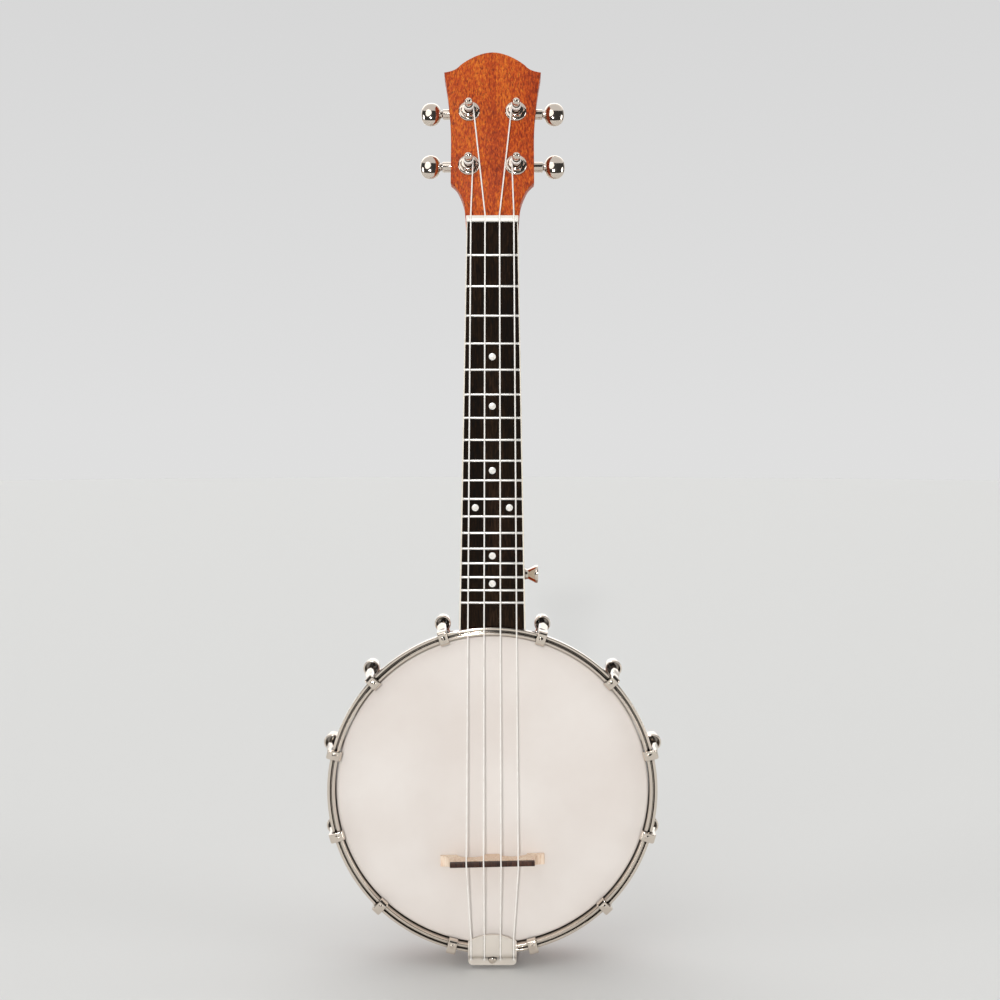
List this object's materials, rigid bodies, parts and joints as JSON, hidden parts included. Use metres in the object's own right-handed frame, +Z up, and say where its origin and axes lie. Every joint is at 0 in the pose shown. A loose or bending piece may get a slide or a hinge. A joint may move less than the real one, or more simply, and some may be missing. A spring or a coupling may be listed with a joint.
{
  "type": "banjo ukulele",
  "caption": "Four-string banjo ukulele: fretted neck with geared tuners on an open-backed wooden rim, with a skin stretched by a hoop, hooks and shoes.",
  "frame": {"origin": "on the neck's centre line in the middle of the headstock's thickness, where a wall hanger's yoke takes it just above the string nut", "axes": "+Z up the pot and the neck, -Y towards the listener (the skin's side), +X to the right as the listener sees it upright"},
  "size_m": [0.2262, 0.0835, 0.6046],
  "materials": {
    "neck_wood": "satin lacquered mahogany",
    "rim_wood": "satin lacquered mahogany",
    "fretboard_wood": "oiled, near black",
    "maple": "bare, fine grained",
    "bone": "polished bone white",
    "skin": "frosted film",
    "nylon": "pale translucent",
    "chrome": "polished",
    "nickel": "satin nickel",
    "steel": "bright drawn"
  },
  "bodies": {
    "root": {"neck": "neck_wood", "fretboard": "fretboard_wood", "string_nut": "bone", "rim": "rim_wood", "head_skin": "skin", "shoe_01": "chrome", "shoe_02": "chrome", "shoe_03": "chrome", "shoe_04": "chrome", "shoe_05": "chrome", "shoe_06": "chrome", "shoe_07": "chrome", "shoe_08": "chrome", "shoe_09": "chrome", "shoe_10": "chrome", "shoe_11": "chrome", "shoe_12": "chrome", "tail_shoe": "chrome", "tail_bolt": "chrome", "tailpiece": "nickel", "coordinator_rod": "steel", "coordinator_nut": "steel", "string_1": "nylon", "string_2": "nylon", "string_3": "nylon", "string_4": "nylon", "bushing_1": "chrome", "bushing_2": "chrome", "bushing_3": "chrome", "bushing_4": "chrome", "tuner_case_1": "chrome", "tuner_case_2": "chrome", "tuner_case_3": "chrome", "tuner_case_4": "chrome", "strap_button": "chrome"},
    "hoop": {"tension_hoop": "chrome", "flesh_hoop": "steel", "hook_01": "chrome", "hook_02": "chrome", "hook_03": "chrome", "hook_04": "chrome", "hook_05": "chrome", "hook_06": "chrome", "hook_07": "chrome", "hook_08": "chrome", "hook_09": "chrome", "hook_10": "chrome", "hook_11": "chrome", "hook_12": "chrome"},
    "bridge": {"bridge_base": "maple", "bridge_cap": "fretboard_wood"},
    "button_1": {"tuning_button_1": "chrome"},
    "post_1": {"post_1": "chrome"},
    "button_2": {"tuning_button_2": "chrome"},
    "post_2": {"post_2": "chrome"},
    "button_3": {"tuning_button_3": "chrome"},
    "post_3": {"post_3": "chrome"},
    "button_4": {"tuning_button_4": "chrome"},
    "post_4": {"post_4": "chrome"}
  },
  "joints": [
    {"name": "head_tension", "type": "slide", "parent": "root", "child": "hoop", "axis": [0, 1, 0], "range_m": [-0.0006, 0.0008]},
    {"name": "bridge_slide", "type": "slide", "parent": "root", "child": "bridge", "axis": [0, 0, 1], "range_m": [-0.01, 0.03], "deforming": ["string_1", "string_2", "string_3", "string_4"]},
    {"name": "button_1_spin", "type": "hinge", "parent": "root", "child": "button_1", "pos_m": [-0.0155, 0.02148, 0.02648], "axis": [1, 0, 0], "continuous": true},
    {"name": "post_1_spin", "type": "hinge", "parent": "root", "child": "post_1", "pos_m": [-0.0155, 0.00003, 0.02404], "axis": [0, 0.9563, -0.2924], "continuous": true},
    {"name": "button_2_spin", "type": "hinge", "parent": "root", "child": "button_2", "pos_m": [-0.0155, 0.03294, 0.06396], "axis": [1, 0, 0], "continuous": true},
    {"name": "post_2_spin", "type": "hinge", "parent": "root", "child": "post_2", "pos_m": [-0.0155, 0.01149, 0.06153], "axis": [0, 0.9563, -0.2924], "continuous": true},
    {"name": "button_3_spin", "type": "hinge", "parent": "root", "child": "button_3", "pos_m": [0.0155, 0.03294, 0.06396], "axis": [1, 0, 0], "continuous": true},
    {"name": "post_3_spin", "type": "hinge", "parent": "root", "child": "post_3", "pos_m": [0.0155, 0.01149, 0.06153], "axis": [0, 0.9563, -0.2924], "continuous": true},
    {"name": "button_4_spin", "type": "hinge", "parent": "root", "child": "button_4", "pos_m": [0.0155, 0.02148, 0.02648], "axis": [1, 0, 0], "continuous": true},
    {"name": "post_4_spin", "type": "hinge", "parent": "root", "child": "post_4", "pos_m": [0.0155, 0.00003, 0.02404], "axis": [0, 0.9563, -0.2924], "continuous": true}
  ],
  "couplings": [
    {"joint": "post_1_spin", "follows": "button_1_spin", "ratio": -0.066667},
    {"joint": "post_2_spin", "follows": "button_2_spin", "ratio": -0.066667},
    {"joint": "post_3_spin", "follows": "button_3_spin", "ratio": -0.066667},
    {"joint": "post_4_spin", "follows": "button_4_spin", "ratio": -0.066667}
  ]
}
